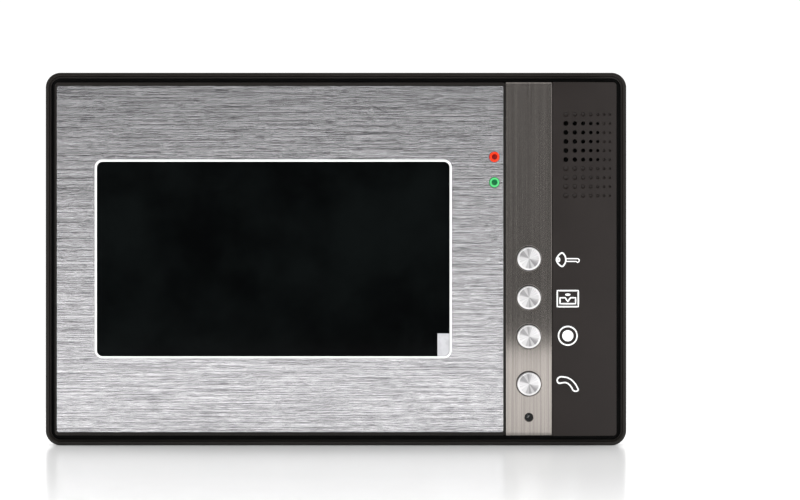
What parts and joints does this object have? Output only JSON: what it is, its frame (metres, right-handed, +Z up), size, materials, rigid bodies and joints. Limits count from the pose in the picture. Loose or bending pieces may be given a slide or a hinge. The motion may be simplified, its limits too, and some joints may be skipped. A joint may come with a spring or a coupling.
{
  "type": "video intercom monitor",
  "caption": "Wall-mounted indoor monitor of a video door intercom: wide screen in a brushed metal plate, button strip, speaker grille, side thumbwheels, hook-on wall bracket.",
  "frame": {"origin": "centre of the wall bracket's screw pattern, on the wall plane behind the bracket; it is also the middle of the front frame's outline", "axes": "+Z up the wall, +X to the right as a user sees the screen, -Y out of the wall towards the user"},
  "size_m": [0.254, 0.032, 0.163],
  "materials": {
    "shell_black": "fine texture",
    "brushed_plate": "brushed along its length",
    "dark_strip": "brushed upwards",
    "speaker_panel_plastic": "satin",
    "screen_black": "polished",
    "bright_edge": "polished",
    "clear_film": "smooth",
    "red_lens": "diffused",
    "green_lens": "diffused",
    "spun_metal": "spun",
    "white_plastic": "moulded",
    "switch_black": "moulded",
    "circuit_board": "solder mask",
    "chip_black": "moulded",
    "capacitor_sleeve": "sleeve",
    "transformer_tape": "tape",
    "header_white": "moulded",
    "zinc_steel": "plated",
    "lcd_black": "polished",
    "diffuser_white": "moulded",
    "flex_amber": "film",
    "speaker_steel": "pressed",
    "cone_paper": "pressed fibre",
    "magnet_plating": "plated",
    "wire_red": "extruded",
    "mic_can": "drawn",
    "black_rubber": "moulded",
    "screw_black": "black oxide",
    "wheel_black": "moulded",
    "pot_phenolic": "pressed board",
    "label_silver": "film",
    "bracket_black": "powder coat"
  },
  "bodies": {
    "bracket": {"wall_bracket": "bracket_black"},
    "monitor": {"front_case": "shell_black", "metal_plate": "brushed_plate", "button_strip": "dark_strip", "speaker_panel": "speaker_panel_plastic", "window_lens": "screen_black", "window_trim": "bright_edge", "film_tab": "clear_film", "red_led": "red_lens", "green_led": "green_lens", "tact_switches": "switch_black", "main_board": "circuit_board", "key_board": "circuit_board", "board_link_header": "chip_black", "chips": "chip_black", "capacitors": "capacitor_sleeve", "inverter_transformer": "transformer_tape", "door_header_1": "header_white", "door_header_2": "header_white", "power_header": "header_white", "lcd_frame": "zinc_steel", "lcd_glass": "lcd_black", "lcd_backlight": "diffuser_white", "lcd_ribbon": "flex_amber", "lcd_straps": "zinc_steel", "speaker_frame": "speaker_steel", "speaker_cone": "cone_paper", "speaker_magnet": "magnet_plating", "speaker_wires": "wire_red", "mic_capsule": "mic_can", "mic_boot": "black_rubber", "case_screws": "screw_black", "board_screws": "zinc_steel", "strap_screws": "zinc_steel", "key_board_screws": "zinc_steel", "rear_case": "shell_black", "rear_feet": "black_rubber", "rating_label": "label_silver", "brightness_pot": "pot_phenolic", "contrast_pot": "pot_phenolic", "ring_volume_pot": "pot_phenolic", "talk_volume_pot": "pot_phenolic"},
    "unlock_button": {"unlock_cap": "spun_metal", "unlock_stem": "white_plastic", "unlock_actuator": "switch_black"},
    "view_button": {"view_cap": "spun_metal", "view_stem": "white_plastic", "view_actuator": "switch_black"},
    "capture_button": {"capture_cap": "spun_metal", "capture_stem": "white_plastic", "capture_actuator": "switch_black"},
    "talk_button": {"talk_cap": "spun_metal", "talk_stem": "white_plastic", "talk_actuator": "switch_black"},
    "brightness_dial": {"brightness_wheel": "wheel_black"},
    "contrast_dial": {"contrast_wheel": "wheel_black"},
    "ring_volume_dial": {"ring_volume_wheel": "wheel_black"},
    "talk_volume_dial": {"talk_volume_wheel": "wheel_black"}
  },
  "joints": [
    {"name": "lift_off", "type": "slide", "parent": "bracket", "child": "monitor", "axis": [0, 0, 1], "range_m": [0, 0.008]},
    {"name": "unlock_press", "type": "slide", "parent": "monitor", "child": "unlock_button", "axis": [0, 1, 0], "range_m": [0, 0.0006], "stiffness_N_per_m": 2500},
    {"name": "view_press", "type": "slide", "parent": "monitor", "child": "view_button", "axis": [0, 1, 0], "range_m": [0, 0.0006], "stiffness_N_per_m": 2500},
    {"name": "capture_press", "type": "slide", "parent": "monitor", "child": "capture_button", "axis": [0, 1, 0], "range_m": [0, 0.0006], "stiffness_N_per_m": 2500},
    {"name": "talk_press", "type": "slide", "parent": "monitor", "child": "talk_button", "axis": [0, 1, 0], "range_m": [0, 0.0006], "stiffness_N_per_m": 2500},
    {"name": "brightness_turn", "type": "hinge", "parent": "monitor", "child": "brightness_dial", "pos_m": [0.1152, -0.0105, 0.0155], "axis": [0, 1, 0], "range_deg": [-110, 110]},
    {"name": "contrast_turn", "type": "hinge", "parent": "monitor", "child": "contrast_dial", "pos_m": [0.1152, -0.0105, -0.0024], "axis": [0, 1, 0], "range_deg": [-110, 110]},
    {"name": "ring_volume_turn", "type": "hinge", "parent": "monitor", "child": "ring_volume_dial", "pos_m": [0.1152, -0.0105, -0.0203], "axis": [0, 1, 0], "range_deg": [-110, 110]},
    {"name": "talk_volume_turn", "type": "hinge", "parent": "monitor", "child": "talk_volume_dial", "pos_m": [0.1152, -0.0105, -0.0382], "axis": [0, 1, 0], "range_deg": [-110, 110]}
  ]
}
